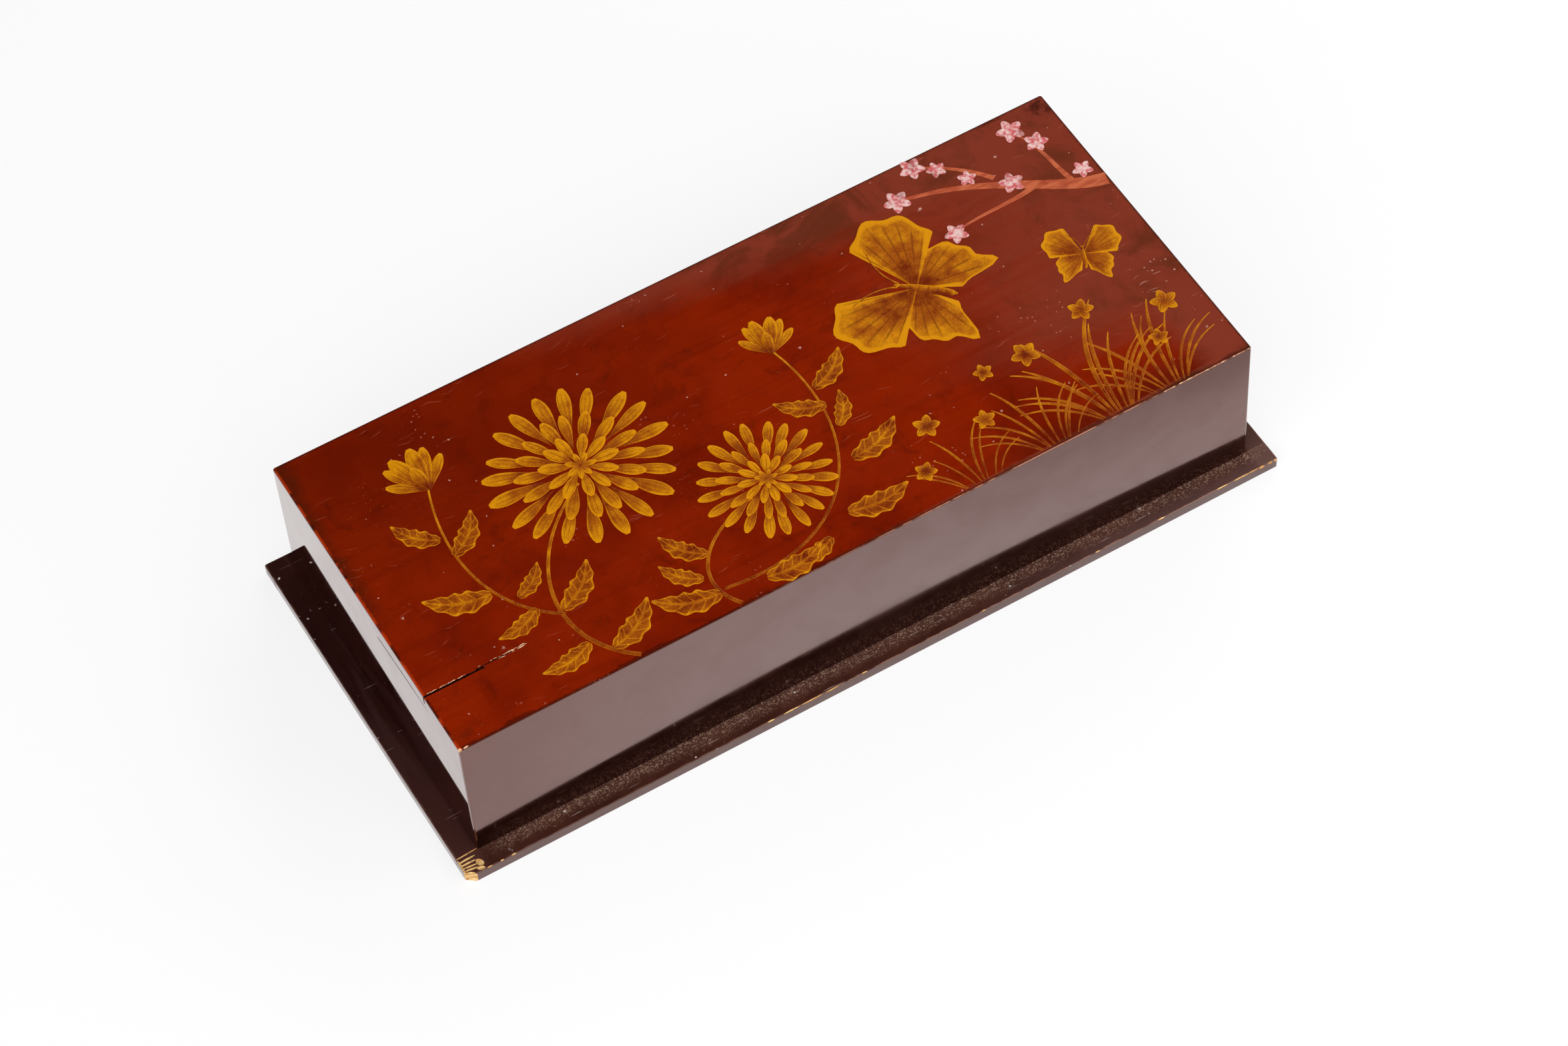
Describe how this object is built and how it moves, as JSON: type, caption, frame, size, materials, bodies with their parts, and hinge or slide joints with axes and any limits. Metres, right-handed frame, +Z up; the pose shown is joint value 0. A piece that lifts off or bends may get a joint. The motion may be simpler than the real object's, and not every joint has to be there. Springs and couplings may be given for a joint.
{
  "type": "lacquer box",
  "caption": "Long rectangular lacquered wooden box: a deep red-topped lid drops over a black tray on a wider base board.",
  "frame": {"origin": "on the table, under the middle of the box", "axes": "+X along the length to the right, +Y from the front to the back, +Z up"},
  "size_m": [0.32, 0.149, 0.0648],
  "materials": {
    "red_lacquer": "polished deep red lacquer over wood, cloudy and worn to brown near its edges, roughness 0.22",
    "dark_lacquer": "polished brown-black lacquer over wood, chipped to pale wood at its corners, roughness 0.25",
    "inner_lacquer": "satin black lacquer over wood, roughness 0.4",
    "bamboo": "bare whittled bamboo, roughness 0.7",
    "gold_lacquer": "gold powder sprinkled in clear lacquer, slightly raised, roughness 0.35",
    "pink_lacquer": "opaque salmon and pink lacquer, slightly raised, roughness 0.35"
  },
  "bodies": {
    "base": {"base_board": "dark_lacquer", "tray_front": "inner_lacquer", "tray_back": "inner_lacquer", "tray_left": "inner_lacquer", "tray_right": "inner_lacquer", "tray_corner_dowel_front_left_lower": "bamboo", "tray_corner_dowel_front_left_upper": "bamboo", "tray_corner_dowel_front_right_lower": "bamboo", "tray_corner_dowel_front_right_upper": "bamboo", "tray_corner_dowel_back_left_lower": "bamboo", "tray_corner_dowel_back_left_upper": "bamboo", "tray_corner_dowel_back_right_lower": "bamboo", "tray_corner_dowel_back_right_upper": "bamboo", "tray_foot_dowel_front_1": "bamboo", "tray_foot_dowel_front_2": "bamboo", "tray_foot_dowel_front_3": "bamboo", "tray_foot_dowel_back_1": "bamboo", "tray_foot_dowel_back_2": "bamboo", "tray_foot_dowel_back_3": "bamboo", "tray_foot_dowel_left_1": "bamboo", "tray_foot_dowel_left_2": "bamboo", "tray_foot_dowel_right_1": "bamboo", "tray_foot_dowel_right_2": "bamboo"},
    "lid": {"lid_top": "red_lacquer", "lid_front": "dark_lacquer", "lid_back": "dark_lacquer", "lid_left": "dark_lacquer", "lid_right": "dark_lacquer", "lid_corner_dowel_front_left_lower": "bamboo", "lid_corner_dowel_front_left_upper": "bamboo", "lid_corner_dowel_front_right_lower": "bamboo", "lid_corner_dowel_front_right_upper": "bamboo", "lid_corner_dowel_back_left_lower": "bamboo", "lid_corner_dowel_back_left_upper": "bamboo", "lid_corner_dowel_back_right_lower": "bamboo", "lid_corner_dowel_back_right_upper": "bamboo", "lid_top_dowel_front_1": "bamboo", "lid_top_dowel_front_2": "bamboo", "lid_top_dowel_front_3": "bamboo", "lid_top_dowel_back_1": "bamboo", "lid_top_dowel_back_2": "bamboo", "lid_top_dowel_back_3": "bamboo", "lid_top_dowel_left_1": "bamboo", "lid_top_dowel_left_2": "bamboo", "lid_top_dowel_right_1": "bamboo", "lid_top_dowel_right_2": "bamboo"}
  },
  "joints": [
    {"name": "lid_lift", "type": "slide", "parent": "base", "child": "lid", "axis": [0, 0, 1], "range_m": [0, 0.12]}
  ]
}
